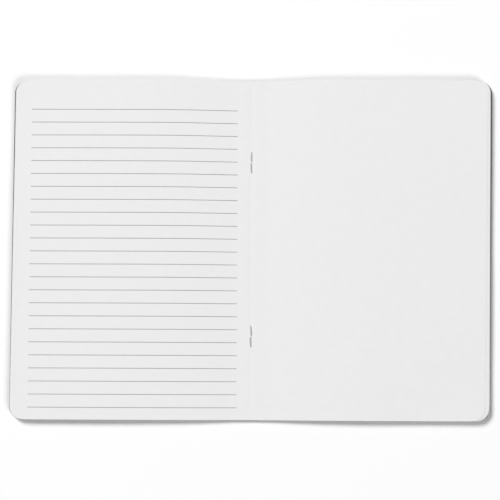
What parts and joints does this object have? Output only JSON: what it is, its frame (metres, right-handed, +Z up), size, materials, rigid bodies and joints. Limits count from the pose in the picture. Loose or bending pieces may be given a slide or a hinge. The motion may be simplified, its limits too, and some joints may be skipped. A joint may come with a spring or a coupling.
{
  "type": "opened stapled sketchbook",
  "caption": "Stapled A5 booklet lying open at its centre spread: ruled left page, plain right page, rounded corners, folded card cover, wire staples in the fold.",
  "frame": {"origin": "middle of the fold, on the surface that the open book lies on", "axes": "+X right across the spread, +Y to the head of the pages, +Z up from the table"},
  "size_m": [0.294, 0.21, 0.0043],
  "materials": {
    "cover_card": "uncoated card, dyed grey right through",
    "page_paper": "smooth uncoated paper",
    "rule_ink": "thin grey offset ink on paper",
    "staple_wire": "drawn galvanised wire"
  },
  "bodies": {
    "back_half": {"back_cover": "cover_card", "right_pages": "page_paper"},
    "front_half": {"front_cover": "cover_card", "left_pages": "page_paper", "ruled_lines": "rule_ink"},
    "staples": {"upper_staple": "staple_wire", "lower_staple": "staple_wire"}
  },
  "joints": [
    {"name": "cover_fold", "type": "hinge", "parent": "back_half", "child": "front_half", "pos_m": [0, 0, 0.0044], "axis": [0, 1, 0], "range_deg": [0, 178]},
    {"name": "staple_follow", "type": "hinge", "parent": "back_half", "child": "staples", "pos_m": [0, 0, 0.0044], "axis": [0, 1, 0], "range_deg": [0, 89]}
  ],
  "couplings": [
    {"joint": "staple_follow", "follows": "cover_fold", "ratio": 0.5}
  ]
}
